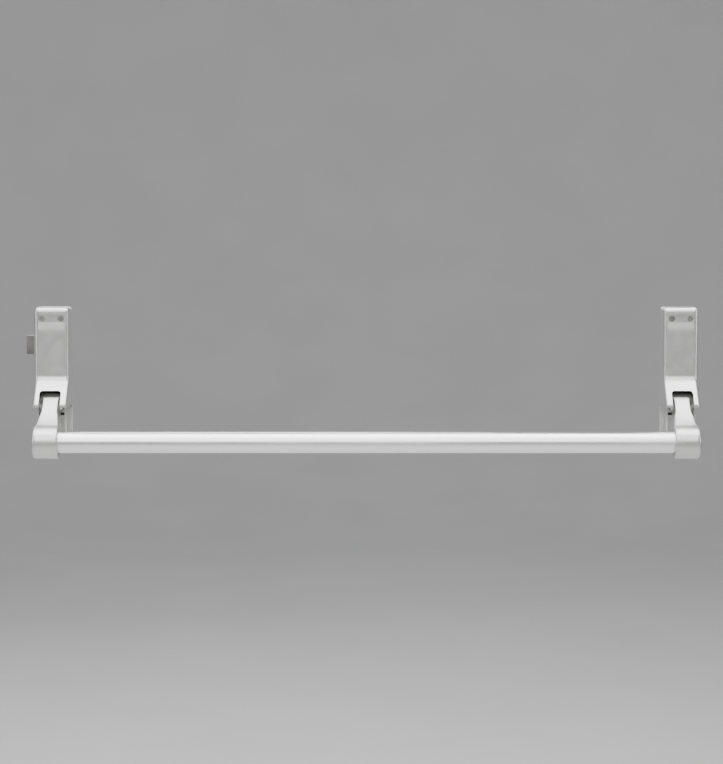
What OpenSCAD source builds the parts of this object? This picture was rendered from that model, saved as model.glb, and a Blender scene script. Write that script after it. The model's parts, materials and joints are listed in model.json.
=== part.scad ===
// Panic exit bar: a latch-side unit and a plain unit on the door's face, joined by a push bar.
// Frame: origin at the centre of the active unit's fixing holes, on the door's face.
// +X runs along the bar to the passive unit, +Y into the door and +Z up, so a person pushes along +Y.

/* [Layout] */
// Distance between the centres of the two units
unit_pitch = 790; // [500:5:1100]
// Spacing of the door fixing holes along X
fixing_dx = 22; // [20:0.5:22]
// Spacing of the door fixing holes along Z
fixing_dz = 122; // [120:0.5:124]
// Diameter of the door fixing holes
fixing_d = 5.5; // [4.5:0.5:6.5]

/* [Case] */
// Width of a unit
case_w = 44; // [44:0.5:48]
// Height of a unit's base above the fixing pattern's centre
case_top = 85; // [85:0.5:90]
// Depth of the base below the fixing pattern's centre
base_bottom = 85; // [80:1:95]
// How far the flat part of the cover stands off the door
case_d = 34; // [34:0.5:38]
// How far the flared hood stands off the door
hood_d = 61; // [57:0.5:61]
// How far the cover reaches below the fixing pattern's centre
cover_bottom = 39; // [39:0.5:44]
// Wall of the cover
cover_wall = 2; // [1.8:0.1:2]
// Width of the slot that the arm comes out of
slot_w = 27; // [26:0.5:30]

/* [Bar and arms] */
// Outside diameter of the bar
bar_d = 26; // [24:0.5:28]
// Wall of the bar
bar_wall = 2; // [1.5:0.1:3]
// How far the bar's axis stands off the door
bar_off = 90; // [84:1:96]
// Depth of the bar's axis below the fixing pattern's centre
bar_drop = 80; // [76:1:86]
// Width of the arm where it leaves the case
stem_w = 20; // [18:0.5:22]
// Width of the knuckle that holds the bar
knuckle_w = 32; // [30:0.5:34]
// Diameter of the knuckle
knuckle_d = 40; // [38:0.5:42]

/* [Latch] */
// Height of the latch bolt
latch_h = 24; // [22:0.5:24.5]
// How far the latch bolt stands out of the case
latch_out = 12; // [11:0.5:14]
// Height of the latch bolt's middle above the fixing pattern's centre
latch_z = 37; // [36.5:0.1:37.2]

/* [Hidden] */
$fn = 64;
eps = 0.5;           // how far a cut runs past the face that it opens
through = 60;        // length of a cut that goes right through

// Motion
swing = 30;          // degrees from rest to fully pressed
finger_l = 24;       // pivot axis to the middle of the finger's tip
pivot_y = -32;
pivot_z = -33;
slide_travel = 2 * finger_l * sin(swing / 2);

// Base: a plate with two cheeks, two rails for the slide and two stops across them
plate_t = 3;
corner_r = 4;
cheek_t = 2.4;
cheek_x = 18.6;      // outer face
cheek_in = cheek_x - cheek_t;
cheek_back = -2;     // the cheeks start inside the plate
cheek_low = 2 - base_bottom;
cheek_d = 36;        // depth of the open channel below the cover
cheek_r = 8;         // its lower corner
case_cheek_d = 28;   // depth of the cheeks under the case
case_cheek_cut = 4;  // their upper corner
step_low = -16;      // heights between which the cheeks get deeper
step_high = -8;
ear_r = 9;
rail_in = 11.15;
rail_d = 11.5;
rail_low = -49;
rail_high = 55;
stop_low = -55.8;
pad_low = -52.5;
tab_low = 79.5;
tab_high = 82;
boss_x = 11.5;
boss_z = case_top - 14.5;
boss_r = 3.6;
boss_d = 28;
latch_gap = 0.3;     // around the latch bolt where it passes the cheek

// Cover
cover_low = -cover_bottom;
flare_top = 0;
flare_a = 42;        // slope of the hood from upright
flare_r = 14;
lip_r = 4;
hood_lap = 2;        // how far the hood runs up into the case
edge_r = 6;
slot_h = 20;
slot_r = 4;
slot_back = -20;
pocket_w = 33;
pocket_h = 10;
pocket_t = 1.2;
pocket_y = pocket_t - case_d;
pocket_r = 1.5;
ramp_h = 6.5;        // height over which the pocket's floor rises to the face
cover_boss_r = 5;
cover_gap = 0.1;     // between the cover's bosses and the base's
bolt_window_gap = 0.8;

// Screws
cover_screw_r = 1.9;
cover_screw_l = 16;
cover_head_r = 4;
cover_pilot_end = -12;
cross_w = 0.9;
cross_d = 1.9;
screw_r = 1.45;
screw_fit = 0.05;
screw_head_r = 2.4;
screw_head_h = 1.4;
screw_cross_w = 0.6;
screw_cross_d = 0.7;
rail_screw_x = 13.6;
rail_pilot_end = -5;
keeper_screw_l = 7;
set_screw_r = 3;
set_screw_low = 0.4; // how far the set screw is sunk into the knuckle
set_screw_hex_r = 1.7;
set_screw_hex_h = 3;

// Pivot
pin_r = 4;
pin_fit = 0.02;
pin_end = case_w / 2 - cover_wall - 0.2;
groove_t = 0.8;      // depth of the pin's clip grooves
clip_x = cheek_x + 0.1;
clip_t = 0.9;
clip_r = 7;
clip_mouth = 5.2;

// Slide, its keeper and its spring
slide_x = 11;
slide_front = -11.3;
slide_back = -3.3;
slide_low = -49;
slide_high = 45;
slide_mid_y = (slide_front + slide_back) / 2;
tip_r = 4;
finger_w = 14;
finger_gap = 0.8;    // beside the finger in the slide's window
window_gap = 0.12;   // above and below it
drive_pin_r = 2.5;
drive_slot_r = drive_pin_r + 0.1;
light_hole_r = 5;
light_hole_z = 2;
spigot_r = 2.2;
spigot_h = 6;
keeper_t = 1.6;
keeper_h = 20;
keeper_r = 2;
keeper_gap = 0.3;
face_gap = 0.02;     // between parts that are screwed face to face
pad_gap = 0.05;
keeper_face = -rail_d - keeper_t - 2 * face_gap;
spring_gap = 0.1;    // at each end of a spring
spring_turns = 12;
return_mean_r = 3.1;
return_wire_r = 0.55;

// Latch
latch_back = -11.7;
latch_front = -25.9;
latch_mid_y = (latch_back + latch_front) / 2;
latch_tail = -2.5;
latch_nose = 3;      // flat of the bolt's tip
latch_pin_x = -latch_out / 2;
drive_pin_back = slide_back - 0.3;
drive_pin_front = latch_front + 0.2;
guide_wall = 6;
guide_front = -29.5;
guide_end = 13.2;
guide_gap = 0.1;
guide_bore_gap = 0.15;
guide_screw_l = -guide_front - 5.5;
inspection_r = 4;
inspection_x = -2;
latch_spring_dz = 7.5;
latch_mean_r = 2.5;
latch_wire_r = 0.4;
latch_bore_r = 3.3;
latch_bore_end = -24;

// Arm and bar
bar_y = -bar_off;
bar_z = -bar_drop;
arm_dy = bar_y - pivot_y;
arm_dz = bar_z - pivot_z;
arm_l = norm([arm_dy, arm_dz]);
arm_a = atan2(arm_dz, arm_dy);
stem_start = 4;      // the stem's length, as distances from the pivot
stem_end = arm_l - 6;
stem_waist = 9;      // half of the stem's least thickness
stem_waist_u = 30;   // its distance from the pivot
stem_swell = 6;      // how much the half grows over the next stem_swell_u
stem_swell_u = 40;
stem_flare_top = 10; // where the stem starts to widen, below the pivot
stem_flare_low = 12; // and where it is widest, above the bar's axis
stem_lap = 10;       // how far its front outline runs past the pivot and the bar's axis
finger_root = 6;     // half of the finger's thickness at the pivot, then at its tip
finger_half = 3;
hub_r = 11.5;
hub_x = 14.4;
bush_r = 5;
bush_in = 4;
bush_flange_r = 8;
bush_flange_t = 1.4;
bush_fit = 0.05;
outer_rim = 4;       // rounding of the knuckle's outer and inner rims
inner_rim = 2;
socket_fit = 0.1;
socket_wall = 8;
bar_end = -knuckle_w / 2 + socket_wall + 0.5;

SILVER = "#c9c6c2";
ZINC = "#b9bcc0";
STEEL = "#8f9296";
BRIGHT = "#dcdcda";
NYLON = "#e8e4d8";
RUBBER = "#2b2b2d";

// ---------- helpers ----------

// Points of an arc, from angle a0 to a1 in n steps
function arc(cx, cy, r, a0, a1, n = 8) =
    [for (i = [0:n]) let (a = a0 + (a1 - a0) * i / n) [cx + r * cos(a), cy + r * sin(a)]];

// A (y, z) outline drawn out along X over w, from x0
module along_x(w, x0) translate([x0, 0, 0]) rotate([90, 0, 90]) linear_extrude(w) children();

// An (x, z) outline drawn out towards the user over depth, from y0
module along_y(y0, depth) translate([0, y0, 0]) rotate([90, 0, 0]) linear_extrude(depth) children();

// A cylinder along X, from x0 over w, at (y, z)
module rod_x(r, x0, w, y, z) translate([x0, y, z]) rotate([0, 90, 0]) cylinder(r = r, h = w);

// A cylinder from y0 towards the user over depth, at (x, z)
module rod_y(r, x, y0, z, depth) translate([x, y0, z]) rotate([90, 0, 0]) cylinder(r = r, h = depth);

// A block between two corners
module block(lo, hi) translate(lo) cube(hi - lo);

// A rectangle with round corners, from its lowest to its highest corner
module round_rect(lo, hi, r) {
    translate([lo[0] + r, lo[1]]) square([hi[0] - lo[0] - 2 * r, hi[1] - lo[1]]);
    translate([lo[0], lo[1] + r]) square([hi[0] - lo[0], hi[1] - lo[1] - 2 * r]);
    for (x = [lo[0] + r, hi[0] - r], y = [lo[1] + r, hi[1] - r]) translate([x, y]) circle(r);
}

// A cross slot, w wide and d deep, in the face at y of a screw's head of radius r
module cross_recess(x, y, z, r, w, d) {
    half = 0.55 * r;
    for (a = [0, 90]) translate([x, y, z]) rotate([0, a, 0]) block([-half, -eps, -w / 2], [half, d, w / 2]);
}

// The passive unit is the active one's mirror image at the bar's other end
module passive() translate([unit_pitch, 0, 0]) mirror([1, 0, 0]) children();

// A coil spring on the Z axis: wire of 6 sides swept by a loop over its turns
module coil(mean_r, wire_r, length, turns, steps = 10) {
    sides = 6;
    rings = turns * steps;
    rise = length - 2 * wire_r;
    points = [for (i = [0:rings], k = [0:sides - 1])
        let (a = 360 * i / steps, b = 360 * k / sides, r = mean_r + wire_r * cos(b))
        [r * cos(a), r * sin(a), wire_r + rise * i / rings + wire_r * sin(b)]];
    faces = concat(
        [[for (k = [0:sides - 1]) k]],
        [for (i = [0:rings - 1], k = [0:sides - 1])
            let (n = (k + 1) % sides, low = i * sides, high = low + sides)
            each [[low + k, high + k, high + n], [low + k, high + n, low + n]]],
        [[for (k = [sides - 1:-1:0]) rings * sides + k]]);
    polyhedron(points, faces);
}

// ---------- base ----------

module cheek_outline() {
    difference() {
        union() {
            // the covered part, then the open channel with a round lower corner
            polygon(concat(
                [[cheek_back, tab_high], [case_cheek_cut - case_cheek_d, tab_high],
                    [-case_cheek_d, tab_high - case_cheek_cut], [-case_cheek_d, step_high],
                    [-cheek_d, step_low]],
                arc(cheek_r - cheek_d, cheek_low + cheek_r, cheek_r, 180, 270, 6),
                [[cheek_back, cheek_low]]));
            translate([pivot_y, pivot_z]) circle(ear_r);
        }
        translate([pivot_y, pivot_z]) circle(pin_r + pin_fit);
    }
}

module base_body(latch) {
    difference() {
        union() {
            along_y(0, plate_t) round_rect([-case_w / 2, -base_bottom], [case_w / 2, case_top], corner_r);
            for (x0 = [-cheek_x, cheek_in]) along_x(cheek_t, x0) cheek_outline();
            for (x0 = [-cheek_in - eps, rail_in])
                block([x0, -rail_d, rail_low], [x0 + cheek_in + eps - rail_in, -plate_t + eps, rail_high]);
            block([-cheek_in - eps, -rail_d, stop_low], [cheek_in + eps, -plate_t + eps, pad_low]);
            block([-cheek_in - eps, -rail_d, tab_low], [cheek_in + eps, -plate_t + eps, tab_high]);
            for (x = [-boss_x, boss_x]) rod_y(boss_r, x, -plate_t + eps, boss_z, boss_d - plate_t + eps);
        }
        for (x = [-1, 1], z = [-1, 1])
            rod_y(fixing_d / 2, x * fixing_dx / 2, eps, z * fixing_dz / 2, plate_t + 2 * eps);
        for (x = [-boss_x, boss_x]) rod_y(cover_screw_r + screw_fit, x, cover_pilot_end, boss_z, through);
        for (x = [-rail_screw_x, rail_screw_x], z = latch ? concat([0], guide_screw_zs()) : [0, latch_z])
            rod_y(screw_r + screw_fit, x, rail_pilot_end, z, through);
        if (latch)
            block([-cheek_x - eps, -through, latch_z - latch_h / 2 - latch_gap],
                [eps / 10 - cheek_in, -rail_d, latch_z + latch_h / 2 + latch_gap]);
    }
}

function guide_screw_zs() = [for (s = [-1, 1]) latch_z + s * (latch_h / 2 + guide_wall / 2)];

module active_base() color(SILVER) base_body(true);
module passive_base() color(SILVER) passive() base_body(false);

// ---------- cover ----------

// Side outline of the flared hood, shrunk by t on its front and left open below
module hood_outline(t) {
    bend = [-case_d - flare_r, flare_top];
    slope_start = bend + flare_r * [cos(flare_a), -sin(flare_a)];
    run = (slope_start[0] + lip_r * cos(flare_a) + hood_d - lip_r) / sin(flare_a);
    lip = slope_start + lip_r * [cos(flare_a), -sin(flare_a)] - run * [sin(flare_a), cos(flare_a)];
    low = cover_low - t;
    polygon(concat(
        [[t - plate_t, flare_top + hood_lap], [t - case_d, flare_top + hood_lap]],
        arc(bend[0], bend[1], flare_r + t, 0, -flare_a, 8),
        arc(lip[0], lip[1], lip_r - t, 180 - flare_a, 180, 5),
        [[lip[0] - lip_r + t, low], [t - plate_t, low]]));
}

module cover_shell() {
    inner_x = case_w / 2 - cover_wall;
    difference() {
        union() {
            // the upright case, with round long edges
            translate([0, 0, flare_top]) linear_extrude(case_top - flare_top) difference() {
                round_rect([-case_w / 2, -case_d], [case_w / 2, 2 * edge_r], edge_r);
                translate([-case_w, -plate_t]) square([2 * case_w, plate_t + 3 * edge_r]);
            }
            // the hood that flares out over the arm's pivot
            along_x(case_w, -case_w / 2) hood_outline(0);
        }
        block([-inner_x, -case_d + cover_wall, flare_top + hood_lap / 2],
            [inner_x, eps, case_top - cover_wall]);
        along_x(2 * inner_x, -inner_x) hood_outline(cover_wall);
    }
}

// Recess for the cover screws, with a ramp below them from its floor up to the face
module pocket() {
    low = boss_z - pocket_h / 2;
    high = boss_z + pocket_h / 2;
    past = -case_d - pocket_t;
    intersection() {
        along_y(pocket_y, through)
            round_rect([-pocket_w / 2, low - 3 * ramp_h], [pocket_w / 2, high], pocket_r);
        along_x(pocket_w, -pocket_w / 2)
            polygon([[pocket_y, high + eps], [pocket_y, low], [past, low - 2 * ramp_h], [past, high + eps]]);
    }
}

module cover_body(latch) {
    gap = bolt_window_gap;
    difference() {
        union() {
            cover_shell();
            for (x = [-boss_x, boss_x])
                rod_y(cover_boss_r, x, -boss_d - cover_gap, boss_z, -boss_d - 2 * cover_gap - pocket_y);
        }
        // arm slot, round at its top corners
        along_y(slot_back, through)
            round_rect([-slot_w / 2, cover_low - slot_h], [slot_w / 2, cover_low + slot_h], slot_r);
        pocket();
        for (x = [-boss_x, boss_x]) {
            rod_y(cover_screw_r + 5 * screw_fit, x, -boss_d + eps, boss_z, through);
            translate([x, pocket_y - face_gap, boss_z]) rotate([-90, 0, 0]) cylinder(
                r1 = cover_head_r + 3 * screw_fit, r2 = cover_screw_r + 3 * screw_fit,
                h = cover_head_r - cover_screw_r);
        }
        if (latch)
            block([-case_w / 2 - eps, latch_front - gap, latch_z - latch_h / 2 - gap],
                [-case_w / 2 + cover_wall + eps, latch_back + gap, latch_z + latch_h / 2 + gap]);
    }
}

module active_cover() color(SILVER) cover_body(true);
module passive_cover() color(SILVER) passive() cover_body(false);

module cover_screws() {
    head_y = pocket_y + 2 * screw_fit;
    for (x = [-boss_x, boss_x]) difference() {
        translate([x, head_y, boss_z]) rotate([-90, 0, 0]) union() {
            cylinder(r1 = cover_head_r, r2 = cover_screw_r, h = cover_head_r - cover_screw_r);
            cylinder(r = cover_screw_r, h = cover_screw_l);
        }
        cross_recess(x, head_y, boss_z, cover_head_r, cross_w, cross_d);
    }
}

module active_cover_screws() color(BRIGHT) cover_screws();
module passive_cover_screws() color(BRIGHT) passive() cover_screws();

// ---------- arm ----------

// Half the arm's thickness at distance u from the pivot
function stem_half(u) = stem_waist + stem_swell * pow((u - stem_waist_u) / stem_swell_u, 2);

module arm_side() {
    steps = 12;
    us = [for (i = [0:steps]) stem_start + (stem_end - stem_start) * i / steps];
    translate([pivot_y, pivot_z]) rotate(arm_a) polygon(concat(
        [for (u = us) [u, stem_half(u)]],
        [for (i = [steps:-1:0]) [us[i], -stem_half(us[i])]]));
}

module finger_side() {
    translate([pivot_y, pivot_z]) rotate(-swing / 2) {
        translate([finger_l, 0]) circle(tip_r);
        polygon([[0, finger_root], [finger_l - finger_root, finger_half], [finger_l, finger_half],
            [finger_l, -finger_half], [finger_l - finger_root, -finger_half], [0, -finger_root]]);
    }
}

// The arm from the front: even at the hub, then flaring to the knuckle's full width
module arm_front() {
    stem = stem_w / 2;
    wide = knuckle_w / 2;
    top = pivot_z + stem_lap;
    low = bar_z - stem_lap;
    flare_start = pivot_z - stem_flare_top;
    flare_end = bar_z + stem_flare_low;
    polygon([[-stem, top], [stem, top], [stem, flare_start], [wide, flare_end],
        [wide, low], [-wide, low], [-wide, flare_end], [-stem, flare_start]]);
}

// The knuckle round the bar's end, with rounded rims
module knuckle() {
    r = knuckle_d / 2;
    translate([0, bar_y, bar_z]) rotate([0, 90, 0]) rotate_extrude() polygon(concat(
        [[0, -knuckle_w / 2]],
        arc(r - outer_rim, -knuckle_w / 2 + outer_rim, outer_rim, -90, 0, 5),
        arc(r - inner_rim, knuckle_w / 2 - inner_rim, inner_rim, 0, 90, 4),
        [[0, knuckle_w / 2]]));
}

module arm_body() {
    difference() {
        union() {
            rod_x(hub_r, -hub_x, 2 * hub_x, pivot_y, pivot_z);
            intersection() {
                along_x(knuckle_w, -knuckle_w / 2) arm_side();
                along_y(0, 2 * through) arm_front();
            }
            along_x(finger_w, -finger_w / 2) finger_side();
            knuckle();
        }
        rod_x(bush_r + pin_fit, -hub_x - eps, 2 * hub_x + 2 * eps, pivot_y, pivot_z);
        rod_x(bar_d / 2 + socket_fit, -knuckle_w / 2 + socket_wall, knuckle_w, bar_y, bar_z);
        translate([0, bar_y, bar_z - knuckle_d / 2 - eps])
            cylinder(r = set_screw_r + screw_fit, h = knuckle_d / 2);
    }
}

module active_arm() color(SILVER) arm_body();
module passive_arm() color(SILVER) passive() arm_body();

module arm_bushes() {
    for (s = [0, 1]) mirror([s, 0, 0]) difference() {
        union() {
            rod_x(bush_r, bush_in, hub_x - bush_in + bush_flange_t, pivot_y, pivot_z);
            rod_x(bush_flange_r, hub_x + bush_fit, bush_flange_t, pivot_y, pivot_z);
        }
        rod_x(pin_r + bush_fit, bush_in - eps, hub_x, pivot_y, pivot_z);
    }
}

module active_arm_bushes() color(NYLON) arm_bushes();
module passive_arm_bushes() color(NYLON) passive() arm_bushes();

module set_screw() {
    translate([0, bar_y, bar_z - knuckle_d / 2 + set_screw_low]) difference() {
        cylinder(r = set_screw_r, h = knuckle_d / 2 - bar_d / 2 - set_screw_low - screw_fit);
        translate([0, 0, -eps]) cylinder(r = set_screw_hex_r, h = set_screw_hex_h + eps, $fn = 6);
    }
}

module active_set_screw() color(STEEL) set_screw();
module passive_set_screw() color(STEEL) passive() set_screw();

module push_bar_tube() color(BRIGHT) difference() {
    rod_x(bar_d / 2, bar_end, unit_pitch - 2 * bar_end, bar_y, bar_z);
    rod_x(bar_d / 2 - bar_wall, bar_end - eps, unit_pitch - 2 * bar_end + 2 * eps, bar_y, bar_z);
}

// ---------- pivot ----------

module pivot_pin() {
    slack = 0.05;
    difference() {
        rod_x(pin_r, -pin_end, 2 * pin_end, pivot_y, pivot_z);
        for (x0 = [-clip_x - clip_t - slack, clip_x - slack]) difference() {
            rod_x(pin_r + eps, x0, clip_t + 2 * slack, pivot_y, pivot_z);
            rod_x(pin_r - groove_t, x0 - eps, clip_t + 3 * eps, pivot_y, pivot_z);
        }
    }
}

module active_pivot_pin() color(STEEL) pivot_pin();
module passive_pivot_pin() color(STEEL) passive() pivot_pin();

module pivot_clips() {
    for (x0 = [-clip_x - clip_t, clip_x]) difference() {
        rod_x(clip_r, x0, clip_t, pivot_y, pivot_z);
        rod_x(pin_r - groove_t + pin_fit, x0 - eps, clip_t + 2 * eps, pivot_y, pivot_z);
        block([x0 - eps, pivot_y - clip_mouth / 2, pivot_z - clip_r - eps],
            [x0 + clip_t + eps, pivot_y + clip_mouth / 2, pivot_z]);
    }
}

module active_pivot_clips() color(STEEL) pivot_clips();
module passive_pivot_clips() color(STEEL) passive() pivot_clips();

// ---------- slide ----------

module drive_slide() {
    tip_z = pivot_z - finger_l * sin(swing / 2);
    run = [latch_out, -slide_travel];
    difference() {
        union() {
            block([-slide_x, slide_front, slide_low], [slide_x, slide_back, slide_high]);
            translate([0, slide_mid_y, slide_high - eps]) cylinder(r = spigot_r, h = spigot_h + eps);
        }
        // window for the arm's finger
        block([-finger_w / 2 - finger_gap, slide_front - eps, tip_z - tip_r - window_gap],
            [finger_w / 2 + finger_gap, slide_back + eps, tip_z + tip_r + window_gap]);
        // slanting slot for the latch's drive pin
        for (t = [0, 1])
            rod_y(drive_slot_r, latch_pin_x + t * run[0], slide_back + eps, latch_z + t * run[1], through);
        translate([latch_pin_x, 0, latch_z]) rotate([0, -atan2(run[1], run[0]), 0])
            block([0, slide_front - eps, pin_fit - drive_slot_r],
                [norm(run), slide_back + eps, drive_slot_r - pin_fit]);
        // lightening hole
        rod_y(light_hole_r, 0, slide_back + eps, light_hole_z, through);
    }
}

module active_drive_slide() color(ZINC) drive_slide();
module passive_drive_slide() color(ZINC) passive() drive_slide();

module return_spring() translate([0, slide_mid_y, slide_high + spring_gap])
    coil(return_mean_r, return_wire_r, tab_low - slide_high - 2 * spring_gap, spring_turns);

module active_return_spring() color(BRIGHT) return_spring();
module passive_return_spring() color(BRIGHT) passive() return_spring();

module slide_keeper(z) {
    difference() {
        along_y(-rail_d - face_gap, keeper_t)
            round_rect([keeper_gap - cheek_in, z - keeper_h / 2],
                [cheek_in - keeper_gap, z + keeper_h / 2], keeper_r);
        for (x = [-rail_screw_x, rail_screw_x]) rod_y(screw_r + screw_fit, x, 0, z, through);
    }
}

module active_slide_keeper() color(ZINC) slide_keeper(0);
module passive_lower_keeper() color(ZINC) passive() slide_keeper(0);
module passive_upper_keeper() color(ZINC) passive() slide_keeper(latch_z);

// Pan-head screws into the rails, their heads on a face at y0
module rail_screws(y0, zs, length) {
    for (x = [-rail_screw_x, rail_screw_x], z = zs) difference() {
        union() {
            rod_y(screw_r, x, y0 + length, z, length + eps);
            rod_y(screw_head_r, x, y0, z, screw_head_h);
        }
        cross_recess(x, y0 - screw_head_h, z, screw_head_r, screw_cross_w, screw_cross_d);
    }
}

module active_keeper_screws() color(STEEL) rail_screws(keeper_face, [0], keeper_screw_l);
module passive_keeper_screws() color(STEEL) passive() rail_screws(keeper_face, [0, latch_z], keeper_screw_l);

module stop_pad()
    block([-slide_x, slide_front, pad_low + face_gap], [slide_x, slide_back, slide_low - pad_gap]);

module active_stop_pad() color(RUBBER) stop_pad();
module passive_stop_pad() color(RUBBER) passive() stop_pad();

// ---------- latch ----------

module latch_bolt() color(BRIGHT) {
    tip_x = -case_w / 2 - latch_out;
    difference() {
        translate([0, 0, latch_z - latch_h / 2]) linear_extrude(latch_h) polygon([
            [tip_x, latch_back], [tip_x, latch_back - latch_nose], [-case_w / 2 - eps, latch_front],
            [latch_tail, latch_front], [latch_tail, latch_back]]);
        for (s = [-1, 1])
            rod_x(latch_bore_r, latch_bore_end, through, latch_mid_y, latch_z + s * latch_spring_dz);
        rod_y(drive_pin_r + pin_fit, latch_pin_x, 0, latch_z, through);
    }
}

module latch_drive_pin() color(STEEL)
    rod_y(drive_pin_r, latch_pin_x, drive_pin_back, latch_z, drive_pin_back - drive_pin_front);

module latch_guide() color(ZINC) {
    low = latch_z - latch_h / 2 - guide_wall;
    high = latch_z + latch_h / 2 + guide_wall;
    difference() {
        block([guide_gap - cheek_in, guide_front, low], [cheek_in - guide_gap, -rail_d - face_gap, high]);
        block([-cheek_in - eps, latch_front - guide_bore_gap, latch_z - latch_h / 2 - guide_bore_gap],
            [guide_end, 0, latch_z + latch_h / 2 + guide_bore_gap]);
        for (x = [-rail_screw_x, rail_screw_x], z = guide_screw_zs())
            rod_y(screw_r + screw_fit, x, 0, z, through);
        // inspection hole over the latch's tail
        rod_y(inspection_r, inspection_x, latch_front + eps, latch_z, through);
    }
}

module latch_guide_screws() color(STEEL)
    rail_screws(guide_front - face_gap, guide_screw_zs(), guide_screw_l);

module latch_springs() color(BRIGHT) for (s = [-1, 1])
    translate([latch_bore_end + spring_gap, latch_mid_y, latch_z + s * latch_spring_dz]) rotate([0, 90, 0])
        coil(latch_mean_r, latch_wire_r, guide_end - latch_bore_end - 2 * spring_gap, spring_turns);

active_base();
active_cover();
active_cover_screws();
active_arm();
active_arm_bushes();
active_pivot_pin();
active_pivot_clips();
active_drive_slide();
active_return_spring();
active_slide_keeper();
active_keeper_screws();
active_stop_pad();
active_set_screw();
latch_bolt();
latch_drive_pin();
latch_guide();
latch_guide_screws();
latch_springs();
push_bar_tube();
passive_base();
passive_cover();
passive_cover_screws();
passive_arm();
passive_arm_bushes();
passive_pivot_pin();
passive_pivot_clips();
passive_drive_slide();
passive_return_spring();
passive_lower_keeper();
passive_upper_keeper();
passive_keeper_screws();
passive_stop_pad();
passive_set_screw();
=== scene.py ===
import bpy
import bmesh
import json
import math
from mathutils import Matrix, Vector


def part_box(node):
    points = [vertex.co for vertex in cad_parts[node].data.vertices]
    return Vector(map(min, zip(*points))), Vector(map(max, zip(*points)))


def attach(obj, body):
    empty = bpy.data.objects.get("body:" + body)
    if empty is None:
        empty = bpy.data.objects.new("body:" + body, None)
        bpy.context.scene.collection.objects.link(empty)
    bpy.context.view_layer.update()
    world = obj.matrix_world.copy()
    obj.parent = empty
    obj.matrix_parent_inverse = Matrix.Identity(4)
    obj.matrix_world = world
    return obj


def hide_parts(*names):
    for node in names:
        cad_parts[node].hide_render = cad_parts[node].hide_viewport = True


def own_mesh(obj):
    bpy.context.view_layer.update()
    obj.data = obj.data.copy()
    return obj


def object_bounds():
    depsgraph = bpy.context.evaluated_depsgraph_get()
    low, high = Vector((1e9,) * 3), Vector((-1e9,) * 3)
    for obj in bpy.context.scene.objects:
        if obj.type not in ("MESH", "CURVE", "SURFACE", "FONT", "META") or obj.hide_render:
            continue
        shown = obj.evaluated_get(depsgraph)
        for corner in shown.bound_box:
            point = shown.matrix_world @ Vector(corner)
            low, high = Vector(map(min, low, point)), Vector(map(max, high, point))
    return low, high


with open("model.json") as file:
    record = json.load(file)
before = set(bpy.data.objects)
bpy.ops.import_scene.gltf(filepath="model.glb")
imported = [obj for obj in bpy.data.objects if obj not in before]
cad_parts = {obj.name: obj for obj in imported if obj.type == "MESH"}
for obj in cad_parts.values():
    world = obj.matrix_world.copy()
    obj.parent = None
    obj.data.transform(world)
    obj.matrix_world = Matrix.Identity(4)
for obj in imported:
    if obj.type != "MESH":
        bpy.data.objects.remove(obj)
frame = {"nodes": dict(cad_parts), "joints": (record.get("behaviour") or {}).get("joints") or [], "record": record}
cad_low, cad_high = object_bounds()
MM = 0.001

# ---------- places, from the frame ----------

UNITS = ("active", "passive")
JOINTS = {joint["name"]: joint for joint in frame["joints"]}
base_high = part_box("active_base")[1]
cover_low, cover_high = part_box("active_cover")
tube_low, tube_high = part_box("push_bar_tube")
passive_low, passive_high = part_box("passive_base")
PITCH = (passive_low.x + passive_high.x) / 2
BAR_Y = (tube_low.y + tube_high.y) / 2
BAR_Z = (tube_low.z + tube_high.z) / 2
BAR_R = (tube_high.z - tube_low.z) / 2
PIVOT = Vector(JOINTS["bar_swing"]["pos_m"])


# ---------- node helpers for materials ----------

# a mask is worked out from a few rays, and runs from one of its two values to the other: the cosine
# between the softened and the true normal, or the share of rays that meet nothing
MASK_SAMPLES = 6
FLAT_COSINE = 0.999
EDGE_COSINE = 0.93
OPEN_SHARE = 0.75
DEEP_SHARE = 0.25


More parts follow.
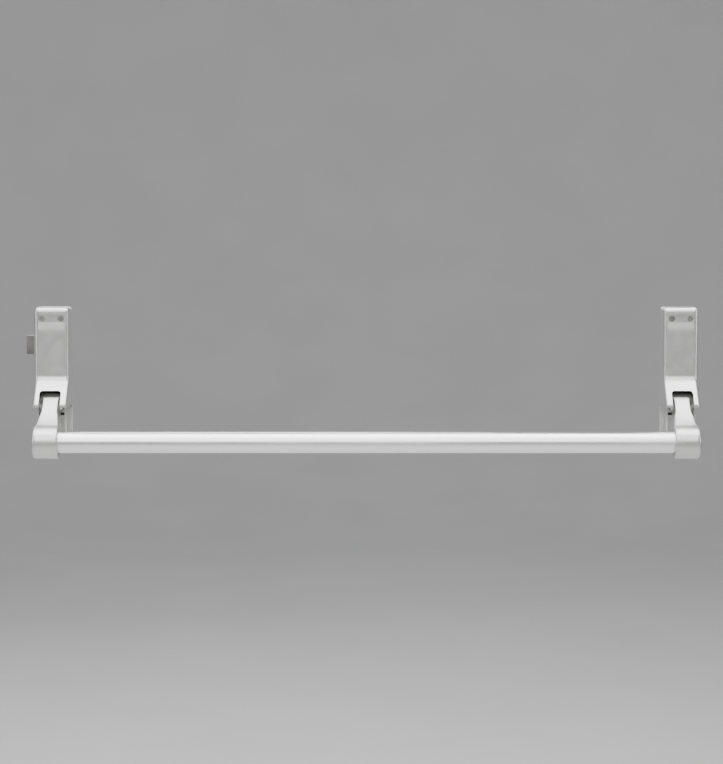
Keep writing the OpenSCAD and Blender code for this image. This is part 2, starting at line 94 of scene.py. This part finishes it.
class Graph:
    """A short way to write a material's node tree."""

    def __init__(self, name):
        self.material = bpy.data.materials.new(name)
        self.material.use_nodes = True
        self.tree = self.material.node_tree
        self.shader = self.tree.nodes["Principled BSDF"]
        self.place = self.add("ShaderNodeTexCoord").outputs["Object"]

    def add(self, kind, **settings):
        node = self.tree.nodes.new(kind)
        for key, value in settings.items():
            setattr(node, key, value)
        return node

    def link(self, source, target):
        self.tree.links.new(source, target)

    def stretched(self, scale):
        """The object's coordinates, in metres, times scale along each axis."""
        node = self.add("ShaderNodeMapping")
        node.inputs["Scale"].default_value = scale
        self.link(self.place, node.inputs["Vector"])
        return node.outputs["Vector"]

    def noise(self, scale, detail=3, rough=0.5):
        """Noise with about scale bumps in a metre: one number, or one for each axis."""
        node = self.add("ShaderNodeTexNoise")
        node.inputs["Scale"].default_value = 1
        node.inputs["Detail"].default_value = detail
        node.inputs["Roughness"].default_value = rough
        by_axis = scale if isinstance(scale, tuple) else (scale, scale, scale)
        self.link(self.stretched(by_axis), node.inputs["Vector"])
        return node.outputs["Fac"]

    def band(self, value, low, high, to_low=0.0, to_high=1.0):
        """Value's stretch low to high, spread over to_low to to_high."""
        node = self.add("ShaderNodeMapRange", interpolation_type="SMOOTHSTEP")
        node.inputs["From Min"].default_value = low
        node.inputs["From Max"].default_value = high
        node.inputs["To Min"].default_value = to_low
        node.inputs["To Max"].default_value = to_high
        self.link(value, node.inputs["Value"])
        return node.outputs["Result"]

    def math(self, how, a, b):
        node = self.add("ShaderNodeMath", operation=how)
        for socket, value in zip(node.inputs, (a, b)):
            if isinstance(value, (int, float)):
                socket.default_value = value
            else:
                self.link(value, socket)
        return node.outputs[0]

    def mix(self, amount, a, b):
        """Colour a where amount is 0 and b where it is 1."""
        node = self.add("ShaderNodeMix", data_type="RGBA")
        self.link(amount, node.inputs["Factor"])
        # of the sockets named A and B, numbers 6 and 7 are the colours
        for socket, value in zip((node.inputs[6], node.inputs[7]), (a, b)):
            if isinstance(value, tuple):
                socket.default_value = (*value, 1)
            else:
                self.link(value, socket)
        return node.outputs[2]

    def edges(self, radius):
        """1 along outer edges that a hand or cloth has rubbed, 0 on flats."""
        soft = self.add("ShaderNodeBevel", samples=MASK_SAMPLES)
        soft.inputs["Radius"].default_value = radius
        true_normal = self.add("ShaderNodeNewGeometry").outputs["Normal"]
        dot = self.add("ShaderNodeVectorMath", operation="DOT_PRODUCT")
        self.link(soft.outputs["Normal"], dot.inputs[0])
        self.link(true_normal, dot.inputs[1])
        return self.band(dot.outputs["Value"], FLAT_COSINE, EDGE_COSINE)

    def dust_and_shade_in_corners(self, distance):
        """1 deep in corners and recesses, where dust stays and shade falls, so what it mixes in is dust and
        painted shade; 0 in the open.
        """
        node = self.add("ShaderNodeAmbientOcclusion", samples=MASK_SAMPLES)
        node.inputs["Distance"].default_value = distance
        return self.band(node.outputs["AO"], OPEN_SHARE, DEEP_SHARE)

    def bumps(self, *layers):
        """Each layer is a height and how many metres its full range stands up."""
        normal = None
        for height, distance in layers:
            node = self.add("ShaderNodeBump")
            node.inputs["Strength"].default_value = 1
            node.inputs["Distance"].default_value = distance
            self.link(height, node.inputs["Height"])
            if normal:
                self.link(normal, node.inputs["Normal"])
            normal = node.outputs["Normal"]
        self.link(normal, self.shader.inputs["Normal"])

    def set(self, **values):
        """Sets or links the shader's sockets, with _ for a space in a name."""
        for name, value in values.items():
            socket = self.shader.inputs[name.replace("_", " ")]
            if isinstance(value, tuple):
                socket.default_value = (*value, 1)
            elif isinstance(value, (int, float)):
                socket.default_value = value
            else:
                self.link(value, socket)
        return self.material


# ---------- materials ----------

def silver_paint():
    """Satin silver paint on a zinc casting.

    It has fine metal flake, a slight orange peel, rubbed edges, and dust with painted shade in the corners and
    recesses.
    """
    dark = (0.56, 0.56, 0.555)
    light = (0.60, 0.60, 0.595)
    flake_tone = (0.85, 0.85, 0.84)
    rubbed = (0.78, 0.77, 0.75)
    # the colour of dust, also used as painted shade in corners and recesses
    dust = (0.20, 0.19, 0.18)
    g = Graph("silver_paint")
    flake = g.noise(2600, 2)
    cloud = g.noise(14, 4)
    peel = g.noise(420, 2)
    paint = g.mix(g.band(cloud, 0.35, 0.65), dark, light)
    paint = g.mix(g.band(flake, 0.52, 0.75, 0, 0.5), paint, flake_tone)
    scuff = g.math("MULTIPLY", g.edges(0.9 * MM), g.band(g.noise(160, 4), 0.42, 0.62))
    paint = g.mix(scuff, paint, rubbed)
    # painted shade: the dust colour is mixed in wherever nearby faces occlude, out to 13 mm, which darkens the
    # channel and the recess as shade would
    paint = g.mix(g.math("MULTIPLY", g.dust_and_shade_in_corners(13 * MM), 0.65), paint, dust)
    rough = g.band(g.noise(90, 6), 0.3, 0.7, 0.31, 0.38)
    g.bumps((peel, 0.05 * MM), (flake, 0.006 * MM))
    return g.set(Base_Color=paint, Roughness=rough, Metallic=0.85,
                 Coat_Weight=0.15, Coat_Roughness=0.22)


def anodised_tube():
    """Satin anodised aluminium.

    It has long drawing lines, faint scratches and duller smears where hands push.
    """
    dark = (0.85, 0.85, 0.845)
    light = (0.93, 0.93, 0.925)
    scratch_tone = (0.93, 0.93, 0.92)
    g = Graph("anodised_tube")
    lines = g.noise((6, 2400, 2400), 4, 0.6)
    scratches = g.band(g.noise((70, 900, 900), 6, 0.7), 0.62, 0.70)
    smear = g.noise((9, 34, 34), 4)
    metal = g.mix(g.band(lines, 0.35, 0.65), dark, light)
    metal = g.mix(g.math("MULTIPLY", scratches, 0.35), metal, scratch_tone)
    rough = g.math("ADD", g.band(smear, 0.35, 0.7, 0.26, 0.38), g.math("MULTIPLY", lines, 0.08))
    g.bumps((lines, 0.010 * MM), (scratches, -0.006 * MM))
    return g.set(Base_Color=metal, Roughness=rough, Metallic=1.0)


def plated_steel(name, dark, light, grain, rough):
    """Zinc-plated or brushed steel, with its grain along the direction where grain is small."""
    worn = tuple(min(c * 1.15, 0.95) for c in light)
    stained = tuple(c * 0.75 for c in dark)
    g = Graph(name)
    lines = g.noise(grain, 5, 0.6)
    blotch = g.noise(90, 4)
    metal = g.mix(g.band(lines, 0.3, 0.7), dark, light)
    metal = g.mix(g.band(blotch, 0.5, 0.8, 0, 0.16), metal, stained)
    metal = g.mix(g.edges(0.4 * MM), metal, worn)
    g.bumps((lines, 0.008 * MM), (blotch, 0.01 * MM))
    return g.set(Base_Color=metal, Roughness=g.band(blotch, 0.3, 0.7, *rough), Metallic=1.0)


def nylon():
    """Off-white moulded nylon with a little surface waviness and grey wear dust."""
    clean = (0.84, 0.81, 0.73)
    worn = (0.52, 0.50, 0.46)
    g = Graph("nylon")
    wave = g.noise(240, 3)
    grey = g.band(g.noise(70, 4), 0.45, 0.75, 0, 0.5)
    colour = g.mix(grey, clean, worn)
    rough = g.band(wave, 0.3, 0.7, 0.42, 0.58)
    g.bumps((wave, 0.03 * MM))
    return g.set(Base_Color=colour, Roughness=rough, Subsurface_Weight=0.05)


def rubber():
    """Black moulded rubber, dusty in patches."""
    black = (0.022, 0.022, 0.024)
    dusty = (0.12, 0.115, 0.11)
    g = Graph("rubber")
    grain = g.noise(900, 3)
    dust = g.band(g.noise(80, 5), 0.45, 0.8, 0, 0.4)
    g.bumps((grain, 0.03 * MM))
    return g.set(Base_Color=g.mix(dust, black, dusty), Roughness=g.band(grain, 0.3, 0.7, 0.62, 0.85))


MATERIALS = {
    "case_silver": silver_paint(),
    "bar_aluminium": anodised_tube(),
    "zinc_steel": plated_steel(
        "zinc_steel", dark=(0.46, 0.47, 0.49), light=(0.60, 0.61, 0.62),
        grain=(900, 60, 900), rough=(0.28, 0.46)),
    "bright_screw": plated_steel(
        "bright_screw", dark=(0.38, 0.38, 0.375), light=(0.52, 0.52, 0.51),
        grain=(700, 700, 700), rough=(0.20, 0.34)),
    "latch_steel": plated_steel(
        "latch_steel", dark=(0.58, 0.57, 0.55), light=(0.68, 0.67, 0.645),
        grain=(40, 700, 700), rough=(0.26, 0.36)),
    "spring_steel": plated_steel(
        "spring_steel", dark=(0.36, 0.36, 0.37), light=(0.52, 0.52, 0.53),
        grain=(600, 600, 600), rough=(0.26, 0.40)),
    "nylon": nylon(),
    "rubber": rubber(),
}
SLOT_OF = {row["node"]: row["material_slot"] for row in frame["record"]["subparts"]}
BODIES = frame["record"]["behaviour"]["bodies"]
BODY_OF = {node: body for body, nodes in BODIES.items() for node in nodes}


def finish_piece(piece, *nodes):
    """Gives a piece its material, slot and body from the CAD nodes that it stands for."""
    slot = SLOT_OF[nodes[0]]
    piece.data.materials.clear()
    piece.data.materials.append(MATERIALS[slot])
    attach(piece, BODY_OF[nodes[0]])
    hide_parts(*nodes)
    return piece


# ---------- mesh helpers ----------

SAME_POINT = 1e-7
SAME_CAD_POINT = 1e-6
FLAT_ANGLE = math.radians(0.8)


def new_object(name, data):
    piece = bpy.data.objects.new(name, data)
    bpy.context.scene.collection.objects.link(piece)
    return piece


def mesh_from(name, points, faces):
    mesh = bpy.data.meshes.new(name)
    mesh.from_pydata(points, [], faces)
    form = bmesh.new()
    form.from_mesh(mesh)
    bmesh.ops.remove_doubles(form, verts=form.verts, dist=SAME_POINT)
    bmesh.ops.recalc_face_normals(form, faces=form.faces)
    form.to_mesh(mesh)
    form.free()
    return mesh


def shade_smooth(piece):
    for face in piece.data.polygons:
        face.use_smooth = True


def apply_modifiers(piece):
    """Leaves the piece's modified shape as its mesh."""
    graph = bpy.context.evaluated_depsgraph_get()
    made = bpy.data.meshes.new_from_object(piece.evaluated_get(graph))
    piece.modifiers.clear()
    piece.data = made


def volume(piece):
    """The piece's volume, after a check that its mesh is closed."""
    form = bmesh.new()
    form.from_mesh(piece.data)
    is_open = any(len(edge.link_faces) != 2 for edge in form.edges)
    amount = form.calc_volume()
    form.free()
    if is_open or not amount:
        raise ValueError(piece.name + " is empty or its mesh isn't closed")
    return amount


def combine(piece, tool, operation):
    """Cuts the tool's shape out of the piece, joins it on, or keeps what they share.

    The script stops unless the piece is closed and its volume has changed the right way.
    """
    before = volume(piece)
    step = piece.modifiers.new("combine", "BOOLEAN")
    step.operation = operation
    step.solver = "MANIFOLD"
    step.object = tool
    apply_modifiers(piece)
    growth = volume(piece) - before
    right_way = growth > 0 if operation == "UNION" else growth < 0
    if not right_way:
        raise ValueError(tool.name + " changed nothing on " + piece.name)
    bpy.data.objects.remove(tool)


def cut(piece, tool):
    combine(piece, tool, "DIFFERENCE")


def soften(piece, width, angle=32, segments=3):
    """Rounds every edge sharper than angle, and keeps the flats looking flat."""
    shade_smooth(piece)
    step = piece.modifiers.new("round", "BEVEL")
    step.width = width
    step.segments = segments
    step.limit_method = "ANGLE"
    step.angle_limit = math.radians(angle)
    step.use_clamp_overlap = True
    step.harden_normals = True
    step = piece.modifiers.new("flats", "WEIGHTED_NORMAL")
    step.weight = 100
    apply_modifiers(piece)


def prism(name, outline, place):
    """A closed solid: the outline's points carried through place(point, 0) and place(point, 1)."""
    n = len(outline)
    points = [place(p, end) for end in (0, 1) for p in outline]
    sides = [(i, (i + 1) % n, n + (i + 1) % n, n + i) for i in range(n)]
    ends = [tuple(range(n)), tuple(range(n, 2 * n))]
    return new_object(name, mesh_from(name, points, ends + sides))


def arc(cx, cy, r, start, stop, steps=8):
    angles = [math.radians(start + (stop - start) * i / steps) for i in range(steps + 1)]
    return [(cx + r * math.cos(a), cy + r * math.sin(a)) for a in angles]


def circle(cx, cy, r, steps=48):
    return arc(cx, cy, r, 0, 360 - 360 / steps, steps - 1)


def round_rect(low, high, r, steps=6):
    (x0, y0), (x1, y1) = low, high
    return (arc(x0 + r, y0 + r, r, 180, 270, steps) + arc(x1 - r, y0 + r, r, 270, 360, steps)
            + arc(x1 - r, y1 - r, r, 0, 90, steps) + arc(x0 + r, y1 - r, r, 90, 180, steps))


def along_x(name, outline, left, right):
    return prism(name, outline, lambda p, end: (right if end else left, p[0], p[1]))


def along_y(name, outline, front, back):
    return prism(name, outline, lambda p, end: (p[0], back if end else front, p[1]))


def along_z(name, outline, bottom, top):
    return prism(name, outline, lambda p, end: (p[0], p[1], top if end else bottom))


def welded(node, name):
    """A new piece with a node's own shape, as one closed mesh with whole flat faces."""
    piece = new_object(name, frame["nodes"][node].data.copy())
    form = bmesh.new()
    form.from_mesh(piece.data)
    bmesh.ops.remove_doubles(form, verts=form.verts, dist=SAME_CAD_POINT)
    bmesh.ops.dissolve_limit(form, angle_limit=FLAT_ANGLE, verts=form.verts, edges=form.edges)
    form.to_mesh(piece.data)
    form.free()
    return piece


def cad_copy(node, name, width):
    """A node's own shape with its edges rounded, for metal that was cut or cast."""
    piece = welded(node, name)
    soften(piece, width)
    return finish_piece(piece, node)


# ---------- the covers ----------

PAST = 2 * MM  # how far a cutting tool runs past what it cuts
WALL = 2 * MM
EDGE_R = 5.5 * MM
EDGE_STEPS = 6
TOP_R = 6 * MM
FLARE_R = 14 * MM
FLARE_A = 42
FLARE_TOP = 0.0
LIP_R = 4 * MM
CASE_D = 34 * MM
ROW_GAP = 9 * MM
ROUNDING = 0.45 * MM
ROUNDING_ANGLE = 16.5
SLOT_HALF = 13.5 * MM
SLOT_TOP = cover_low.z + 20 * MM
SLOT_BOTTOM = cover_low.z - 20 * MM
SLOT_FRONT = -90 * MM
SLOT_BACK = -20 * MM
SLOT_CORNER_R = 4 * MM
POCKET_T = 1.2 * MM
POCKET_HALF = 16.5 * MM
POCKET_H = 10 * MM
POCKET_CORNER_R = 1.5 * MM
POCKET_FRONT = -60 * MM
POCKET_FLOOR = POCKET_T - CASE_D
RAMP_H = 6.5 * MM
SCREW_X = 11.5 * MM
SCREW_Z = base_high.z - 14.5 * MM
HEAD_R = 4.15 * MM
HEAD_GAP = 0.01 * MM
SINK_LEAD = 0.02 * MM
SHANK_R = 2.0 * MM
SINK_H = 2.15 * MM
WINDOW_GAP = 0.8 * MM
WINDOW_CORNER_R = 1.5 * MM
WINDOW_REACH = 4 * MM


def side_outline(t):
    """The cover's front seen from the side, from the top's back edge down, t inside the skin."""
    hood = -cover_low.y
    a = math.radians(FLARE_A)
    down_the_flare = Vector((-math.sin(a), -math.cos(a)))
    out_of_the_flare = Vector((math.cos(a), -math.sin(a)))
    bend = Vector((-CASE_D - FLARE_R, FLARE_TOP))
    start = bend + FLARE_R * out_of_the_flare
    run = (start.x + LIP_R * math.cos(a) + hood - LIP_R) / math.sin(a)
    lip = start + LIP_R * out_of_the_flare + run * down_the_flare
    top = cover_high.z
    # the inner form runs a millimetre past the mouth
    mouth = cover_low.z - (MM if t else 0)
    return ([(cover_high.y, top - t)]
            + arc(-CASE_D + TOP_R, top - TOP_R, TOP_R - t, 90, 180, 6)
            + arc(bend.x, bend.y, FLARE_R + t, 0, -FLARE_A, 10)
            + arc(lip.x, lip.y, LIP_R - t, 180 - FLARE_A, 180, 5)
            + [(lip.x - LIP_R + t, mouth)])


def spaced(points, longest):
    """The same outline with no stretch longer than longest."""
    out = [points[0]]
    for a, b in zip(points, points[1:]):
        n = max(1, math.ceil(math.dist(a, b) / longest))
        out += [(a[0] + (b[0] - a[0]) * i / n, a[1] + (b[1] - a[1]) * i / n)
                for i in range(1, n + 1)]
    return out


def inward_at(outline, i):
    """The direction into the cover from an outline's point; the ends stay in their planes."""
    if i == 0:
        return Vector((0, -1))
    if i == len(outline) - 1:
        return Vector((1, 0))
    a = outline[i - 1]
    b = outline[i + 1]
    along = Vector((b[0] - a[0], b[1] - a[1])).normalized()
    return Vector((-along.y, along.x))


def skin(name, centre_x, t, back):
    """A closed solid of the cover's outer shape, t inside it, with round long edges, flat at back."""
    half = (cover_high.x - cover_low.x) / 2 - t
    r = EDGE_R - t
    outline = spaced(side_outline(t), ROW_GAP)
    outline[0] = (back, outline[0][1])
    angles = [math.radians(90 * i / EDGE_STEPS) for i in range(EDGE_STEPS + 1)]
    # each column is a place across the cover: how far out it is and how far its face sits back
    columns = [(-half + r - r * math.sin(a), r - r * math.cos(a)) for a in reversed(angles)]
    columns += [(-x, inset) for x, inset in reversed(columns)]
    n = len(columns)
    points = []
    for i, (y, z) in enumerate(outline):
        inward = inward_at(outline, i)
        points += [(centre_x + x, y + inward.x * inset, z + inward.y * inset) for x, inset in columns]
    rows = len(outline)
    last = (rows - 1) * n
    low_z = points[last][2]
    left = len(points)
    right = left + 1
    points += [(centre_x - half, back, low_z), (centre_x + half, back, low_z)]
    faces = [(row * n + c, row * n + c + 1, (row + 1) * n + c + 1, (row + 1) * n + c)
             for row in range(rows - 1) for c in range(n - 1)]
    faces.append(tuple(row * n for row in range(rows)) + (left,))
    faces.append(tuple(row * n + n - 1 for row in range(rows)) + (right,))
    faces.append(tuple(range(last, last + n)) + (right, left))
    faces.append(tuple(range(n)) + (right, left))
    return new_object(name, mesh_from(name, points, faces))


def cone(name, x, z, front_r, back_r, front, back, steps=40):
    """A cone along Y, front_r at front and back_r at back."""
    angles = [2 * math.pi * i / steps for i in range(steps)]
    points = [(x + r * math.cos(a), y, z + r * math.sin(a))
              for r, y in ((front_r, front), (back_r, back)) for a in angles]
    sides = [(i, (i + 1) % steps, steps + (i + 1) % steps, steps + i) for i in range(steps)]
    ends = [tuple(range(steps)), tuple(range(steps, 2 * steps))]
    return new_object(name, mesh_from(name, points, ends + sides))


def pocket_tool(centre):
    """The recess for the cover screws, with a ramp below them from its floor up to the face."""
    low = SCREW_Z - POCKET_H / 2
    high = SCREW_Z + POCKET_H / 2
    # the ramp runs on to as far in front of the face as the floor is behind it
    ahead = -POCKET_T - CASE_D
    ramp = [(POCKET_FLOOR, high + MM), (POCKET_FLOOR, low),
            (ahead, low - 2 * RAMP_H), (ahead, high + MM)]
    outline = round_rect((centre - POCKET_HALF, low - 3 * RAMP_H), (centre + POCKET_HALF, high),
                         POCKET_CORNER_R)
    tool = along_y("pocket", outline, POCKET_FRONT, POCKET_FLOOR)
    reach = 1.2 * POCKET_HALF
    combine(tool, along_x("ramp", ramp, centre - reach, centre + reach), "INTERSECT")
    return tool


def slot_tool(centre):
    """The slot in the hood that the arm swings through."""
    outline = round_rect((centre - SLOT_HALF, SLOT_BOTTOM), (centre + SLOT_HALF, SLOT_TOP),
                         SLOT_CORNER_R)
    return along_y("slot", outline, SLOT_FRONT, SLOT_BACK)


def screw_sink(x):
    """The countersink that a cover screw's head sits in."""
    return cone("hole", x, SCREW_Z, HEAD_R + HEAD_GAP, SHANK_R,
                POCKET_FLOOR - SINK_LEAD, POCKET_FLOOR + SINK_H)


def latch_window():
    """The opening in the case's side that the latch bolt comes out of."""
    low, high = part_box("latch_bolt")
    outline = round_rect((low.y - WINDOW_GAP, low.z - WINDOW_GAP),
                         (high.y + WINDOW_GAP, high.z + WINDOW_GAP), WINDOW_CORNER_R)
    return along_x("window", outline, cover_low.x - WINDOW_REACH, cover_low.x + WINDOW_REACH)


def cover(unit):
    centre = 0.0 if unit == "active" else PITCH
    piece = skin(unit + "_cover_shell", centre, 0, cover_high.y)
    cut(piece, skin("inner", centre, WALL, PAST))
    cut(piece, slot_tool(centre))
    cut(piece, pocket_tool(centre))
    for x in (centre - SCREW_X, centre + SCREW_X):
        cut(piece, screw_sink(x))
    if unit == "active":
        cut(piece, latch_window())
    soften(piece, ROUNDING, angle=ROUNDING_ANGLE)
    return finish_piece(piece, unit + "_cover")


for unit in UNITS:
    cover(unit)


# ---------- the arms ----------

BUSH_R = 5.02 * MM
HUB_HALF = 14.2 * MM
TUBE_END_GAP = 0.5 * MM
SOCKET_FIT = 0.1 * MM
SCREW_FIT = 0.05 * MM
PLUG_OVERLAP = 1 * MM
PLUG_START = 4 * MM
PLUG_SKIN = 0.6 * MM
SCREW_PLUG_R = 4 * MM
FILLET_R = 6 * MM
VOXEL = 0.55 * MM
SHARP_ANGLE = math.radians(38)
BRIEF_RELAX = 6
LAST_RELAX = 20
BASE_ROUNDING = 0.4 * MM
LATCH_ROUNDING = 0.35 * MM


def rod_x(name, r, x0, x1, y, z):
    return along_x(name, circle(y, z, r), x0, x1)


def rod_z(name, r, x, y, z0, z1):
    return along_z(name, circle(x, y, r), z0, z1)


def remeshed(piece, relax_times):
    """Gives the piece an even skin, with its edges relaxed round."""
    step = piece.modifiers.new("remesh", "REMESH")
    step.mode = "VOXEL"
    step.voxel_size = VOXEL
    step = piece.modifiers.new("relax", "SMOOTH")
    step.factor = 0.5
    step.iterations = relax_times
    apply_modifiers(piece)


def cast_form(piece, r):
    """Rounds inner corners to r: the skin moves out by r, is joined where it meets, and moves back."""
    remeshed(piece, BRIEF_RELAX)
    for distance in (r, -r):
        step = piece.modifiers.new("move", "DISPLACE")
        step.direction = "NORMAL"
        step.mid_level = 0
        step.strength = distance
        apply_modifiers(piece)
        remeshed(piece, BRIEF_RELAX)
    remeshed(piece, LAST_RELAX)


def arm(unit):
    """The casting: one form from hub to knuckle, with its bores cut after the corners are filled."""
    low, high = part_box(unit + "_arm")
    screw_low, screw_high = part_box(unit + "_set_screw")
    centre = (low.x + high.x) / 2
    socket = (low.x - PAST, tube_high.x + TUBE_END_GAP)
    if unit == "active":
        socket = (tube_low.x - TUBE_END_GAP, high.x + PAST)

    piece = welded(unit + "_arm", unit + "_arm_casting")
    plugs = (
        rod_x("hub_plug", BUSH_R + PLUG_OVERLAP, centre - HUB_HALF, centre + HUB_HALF,
              PIVOT.y, PIVOT.z),
        rod_x("socket_plug", BAR_R + PLUG_OVERLAP, low.x + PLUG_START, high.x - PLUG_SKIN,
              BAR_Y, BAR_Z),
        rod_z("screw_plug", SCREW_PLUG_R, centre, BAR_Y, low.z + PLUG_SKIN, BAR_Z),
    )
    for plug in plugs:
        combine(piece, plug, "UNION")
    cast_form(piece, FILLET_R)
    screw_r = (screw_high.x - screw_low.x) / 2 + SCREW_FIT
    cut(piece, rod_x("bush_bore", BUSH_R, low.x - PAST, high.x + PAST, PIVOT.y, PIVOT.z))
    cut(piece, rod_x("socket", BAR_R + SOCKET_FIT, *socket, BAR_Y, BAR_Z))
    cut(piece, rod_z("screw_hole", screw_r, centre, BAR_Y, low.z - PAST, BAR_Z - BAR_R + PAST))
    shade_smooth(piece)
    piece.data.set_sharp_from_angle(angle=SHARP_ANGLE)
    return finish_piece(piece, unit + "_arm")


for unit in UNITS:
    arm(unit)
    cad_copy(unit + "_base", unit + "_base_casting", BASE_ROUNDING)

cad_copy("latch_bolt", "latch_bolt_ground", LATCH_ROUNDING)


# ---------- springs ----------

RETURN_WIRE = {"mean_r": 3.1 * MM, "wire_r": 0.55 * MM, "turns": 11}
LATCH_WIRE = {"mean_r": 2.5 * MM, "wire_r": 0.4 * MM, "turns": 12}
TURN_STEPS = 24
WIRE_SIDES = 8


def coil(name, node, joint, start, along, length, anchor, mean_r, wire_r, turns):
    """A compression spring from start along a direction; its joint is not used."""
    along = Vector(along)
    across = along.orthogonal().normalized()
    third = along.cross(across)
    rings = turns * TURN_STEPS
    closed = TURN_STEPS  # the first and last turns rise by one wire only, as closed ends do
    points = []
    for i in range(rings + 1):
        share = min(max((i - closed) / (rings - 2 * closed), 0), 1)
        first_turn = 2 * wire_r * min(i, closed) / closed
        last_turn = 2 * wire_r * max(0, i - rings + closed) / closed
        rise = wire_r + first_turn + share * (length - 6 * wire_r) + last_turn
        a = 2 * math.pi * i / TURN_STEPS
        out = across * math.cos(a) + third * math.sin(a)
        for k in range(WIRE_SIDES):
            b = 2 * math.pi * k / WIRE_SIDES
            outward = out * (mean_r + wire_r * math.cos(b))
            points.append(tuple(Vector(start) + outward + along * (rise + wire_r * math.sin(b))))
    faces = []
    for i in range(rings):
        here = i * WIRE_SIDES
        there = here + WIRE_SIDES
        for k in range(WIRE_SIDES):
            after = (k + 1) % WIRE_SIDES
            faces.append((here + k, there + k, there + after, here + after))
    faces += [tuple(range(WIRE_SIDES)), tuple(rings * WIRE_SIDES + k for k in range(WIRE_SIDES))]
    piece = new_object(name, mesh_from(name, points, faces))
    shade_smooth(piece)
    finish_piece(piece, node)
    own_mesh(piece)
    return piece


for unit in UNITS:
    node = unit + "_return_spring"
    low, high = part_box(node)
    centre = (low + high) / 2
    coil(node + "_coil", node, unit + "_slide_travel", (centre.x, centre.y, low.z), (0, 0, 1),
         high.z - low.z, (centre.x, centre.y, high.z), **RETURN_WIRE)

low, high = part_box("latch_springs")
spring_y = (low.y + high.y) / 2
outer_r = LATCH_WIRE["mean_r"] + LATCH_WIRE["wire_r"]
for count, z in enumerate((low.z + outer_r, high.z - outer_r)):
    coil("latch_spring_coil_%d" % (count + 1), "latch_springs", "latch_travel",
         (low.x, spring_y, z), (1, 0, 0), high.x - low.x, (high.x, spring_y, z), **LATCH_WIRE)


# ---------- what is carried over ----------

for node, piece in frame["nodes"].items():
    if not piece.hide_render:
        for holder in piece.material_slots:
            holder.material = MATERIALS[SLOT_OF[node]]
        if not piece.material_slots:
            piece.data.materials.append(MATERIALS[SLOT_OF[node]])


# ---------- stage ----------

# in metres, apart from the lens, which is in millimetres
FLOOR_DROP = 0.75
EYE_BACK = 2.8
EYE_ABOVE_BAR = 0.25
LENS = 104
CLIP_END = 60
middle = (cad_low + cad_high) / 2


def bowl(name, flat, curve, wall, floor_z, steps=96):
    """A round studio floor that curves up into a wall, so that no view shows a horizon."""
    rim = [(0.01, 0.0), (flat, 0.0)]
    rim += [(flat + x, curve + z) for x, z in arc(0, 0, curve, -90, 0, 14)[1:]]
    rim += [(flat + curve, wall)]
    points = []
    for i in range(steps):
        a = 2 * math.pi * i / steps
        points += [(middle.x + r * math.cos(a), r * math.sin(a), floor_z + z) for r, z in rim]
    n = len(rim)
    faces = []
    for i in range(steps):
        here = i * n
        there = (i + 1) % steps * n
        faces += [(here + k, there + k, there + k + 1, here + k + 1) for k in range(n - 1)]
    faces.append(tuple(i * n for i in range(steps)))
    piece = new_object(name, mesh_from(name, points, faces))
    shade_smooth(piece)
    return piece


def floor_material():
    dark = (0.56, 0.56, 0.558)
    light = (0.585, 0.585, 0.582)
    g = Graph("floor")
    return g.set(Base_Color=g.mix(g.band(g.noise(3, 3), 0.3, 0.7), dark, light), Roughness=0.85)


floor = bowl("floor", flat=4.5, curve=3.0, wall=7.0, floor_z=cad_low.z - FLOOR_DROP)
floor.data.materials.append(floor_material())


def aimed(name, data, place, aim):
    """An object at a place that looks at aim."""
    piece = new_object(name, data)
    piece.location = place
    piece.rotation_mode = "QUATERNION"
    piece.rotation_quaternion = (aim - place).to_track_quat("-Z", "Y")
    return piece


# each lamp's place and aim from the object's middle, its width and height, and its power in watts
LAMPS = {
    "ceiling": ((0, -0.15, 1.5), (0, 0, 0), (3.0, 1.5), 96),
    "front_fill": ((-0.2, -2.3, 1.55), (0, 0, 0), (2.6, 1.8), 60),
    "left_fill": ((-2.2, -0.8, 0.5), (0, 0, 0), (0.6, 1.2), 11),
    "right_fill": ((2.2, -0.8, 0.5), (0, 0, 0), (0.6, 1.2), 11),
    "back_fill": ((-0.6, 2.3, 1.2), (0, 0, 0), (1.6, 1.0), 18),
    "backdrop_wash": ((0, 2.5, 3.0), (0, 7.0, 0.4), (4.0, 1.5), 70),
    "front_wash": ((0, -2.5, 3.0), (0, -7.0, 0.4), (4.0, 1.5), 100),
}
for name, (place, aim, size, power) in LAMPS.items():
    lamp = bpy.data.lights.new(name, "AREA")
    lamp.shape = "RECTANGLE"
    lamp.size, lamp.size_y = size
    lamp.energy = power
    aimed(name, lamp, middle + Vector(place), middle + Vector(aim))

world = bpy.data.worlds.new("studio")
world.use_nodes = True
background = world.node_tree.nodes["Background"]
background.inputs["Color"].default_value = (0.92, 0.94, 0.96, 1)
background.inputs["Strength"].default_value = 0.20
bpy.context.scene.world = world

# the eye is in front of the object's middle and a little above the bar
EYE = Vector((middle.x, -EYE_BACK, BAR_Z + EYE_ABOVE_BAR))
camera = aimed("camera", bpy.data.cameras.new("camera"), EYE, middle)
camera.data.lens = LENS
camera.data.clip_end = CLIP_END
bpy.context.scene.camera = camera
